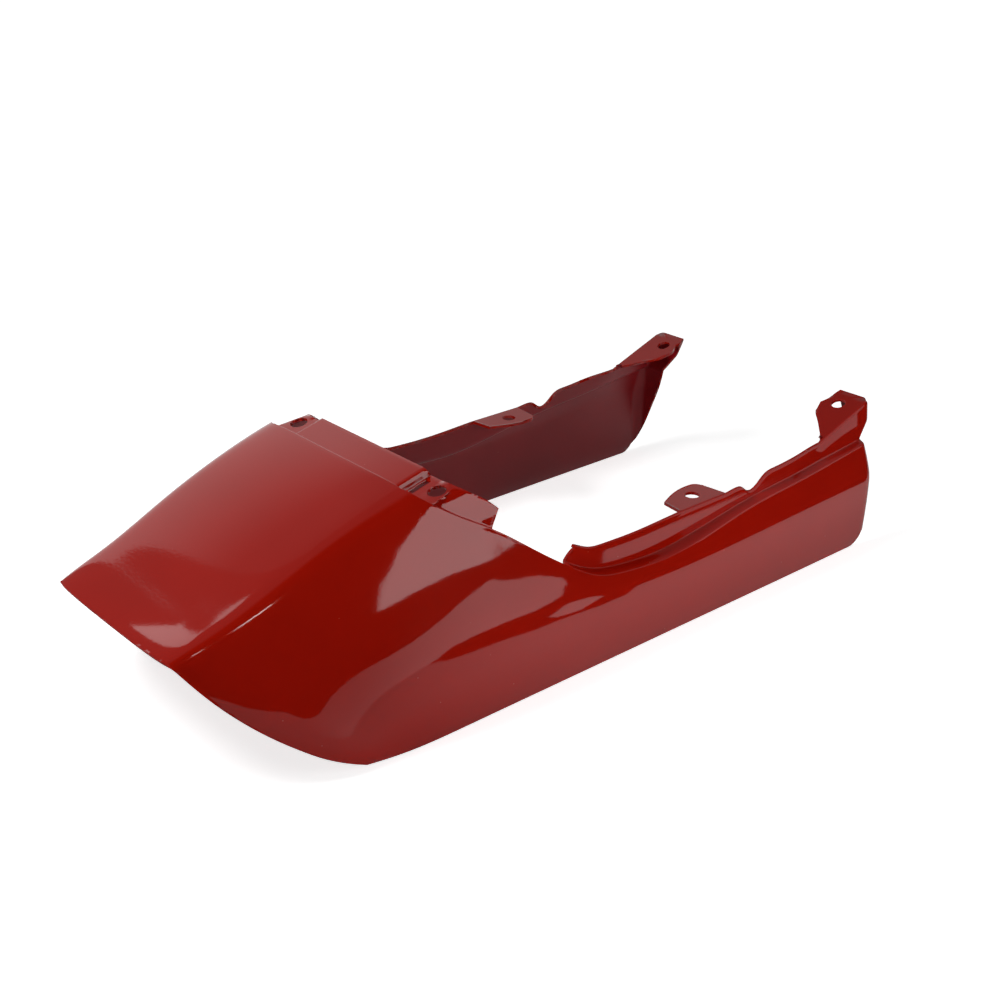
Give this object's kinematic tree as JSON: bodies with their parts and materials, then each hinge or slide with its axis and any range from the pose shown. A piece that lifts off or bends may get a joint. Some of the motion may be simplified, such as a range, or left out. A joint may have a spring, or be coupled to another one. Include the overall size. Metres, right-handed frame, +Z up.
{
  "type": "tail fairing",
  "caption": "Moulded tail fairing for a motorcycle: a hood over the tail with arms forward on either side of the seat, bolt lugs, and a shelf for the seat's rear tongue.",
  "frame": {"origin": "middle of the bounding box, at its base: on the middle line, halfway between the rear edge and the front of the arms, level with the arms' lower edges", "axes": "+X is the rider's right, +Y points forwards along the motorcycle, +Z is up"},
  "size_m": [0.2854, 0.654, 0.1647],
  "materials": {
    "red_paint": "deep red base coat under clear lacquer, on ABS"
  },
  "bodies": {
    "root": {"tail_fairing": "red_paint"}
  },
  "joints": []
}
